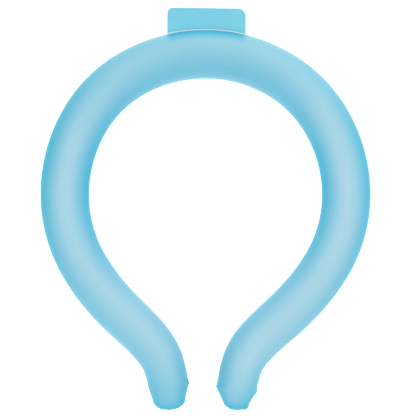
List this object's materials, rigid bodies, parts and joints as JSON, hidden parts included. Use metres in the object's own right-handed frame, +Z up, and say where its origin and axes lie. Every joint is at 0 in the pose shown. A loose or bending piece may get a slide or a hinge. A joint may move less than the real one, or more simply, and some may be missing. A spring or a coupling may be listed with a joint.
{
  "type": "cooling neck ring",
  "caption": "Soft tube bent into an open ring that is worn round the neck, filled with a cooling core, with tapered tips and a flat tab at the back.",
  "frame": {"origin": "middle of the box round the whole ring, on the plane that it lies on", "axes": "+Z up, square to the plane of the ring; +Y from the tips to the tab at the back of the neck; +X to the right seen from above"},
  "size_m": [0.14, 0.1708, 0.0206],
  "materials": {
    "tinted_skin": "satin translucent sky-blue soft plastic",
    "milky_core": "milky pale filling seen through the skin",
    "tinted_seal": "satin translucent sky-blue soft plastic",
    "tinted_tab": "satin solid sky-blue soft plastic"
  },
  "bodies": {
    "root": {"ring_skin": "tinted_skin", "cooling_core": "milky_core", "end_seal_left": "tinted_seal", "end_seal_right": "tinted_seal", "neck_tab": "tinted_tab"}
  },
  "joints": []
}
